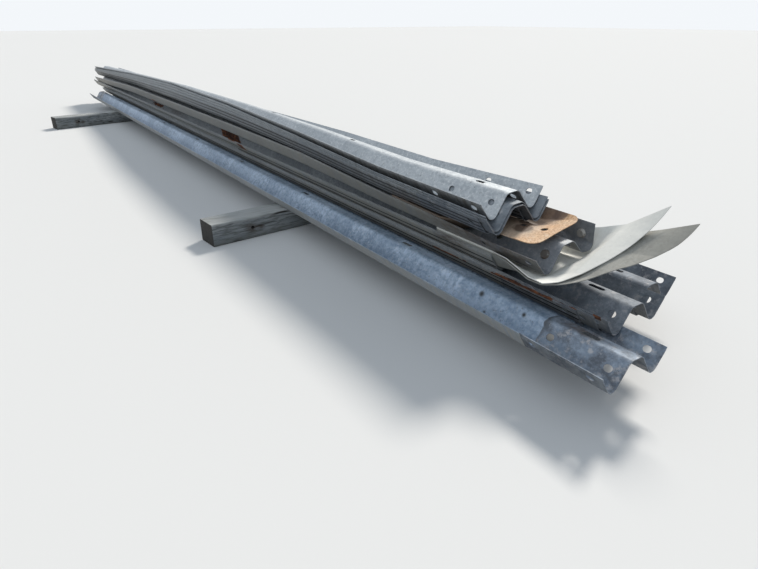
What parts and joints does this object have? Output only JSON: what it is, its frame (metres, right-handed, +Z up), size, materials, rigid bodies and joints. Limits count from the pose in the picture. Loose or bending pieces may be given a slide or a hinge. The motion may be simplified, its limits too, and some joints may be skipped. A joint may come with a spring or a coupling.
{
  "type": "guardrail rail bundle",
  "caption": "Bundle of salvaged W-beam guardrail rails, flared ends and an end shoe on two timber bearers.",
  "frame": {"origin": "centre of the bounding box at the bearers' base", "axes": "+X along the rails towards the flared ends, +Z up, +Y towards the rear bottom rail"},
  "size_m": [8.5762, 2.0576, 0.599],
  "materials": {
    "zinc": "weathered galvanizing",
    "flare": "bright galvanizing",
    "rust": "orange rust over steel sheet",
    "bolt": "dull galvanizing",
    "timber": "weathered rough sawn"
  },
  "bodies": {
    "root": {"bearer_far": "timber", "bearer_near": "timber", "end_shoe": "rust", "flared_end_lower": "flare", "flared_end_upper": "flare", "rail_bottom_front": "zinc", "rail_bottom_rear": "zinc", "rail_lower_1": "zinc", "rail_lower_2": "zinc", "rail_lower_3": "zinc", "rail_middle_1": "zinc", "rail_middle_2": "zinc", "rail_short": "zinc", "rail_top_1": "zinc", "rail_top_2": "zinc", "rail_top_3": "zinc", "rail_top_4": "zinc", "rail_upper": "zinc", "splice_bolt_far": "bolt", "splice_bolt_near": "bolt"}
  },
  "joints": []
}
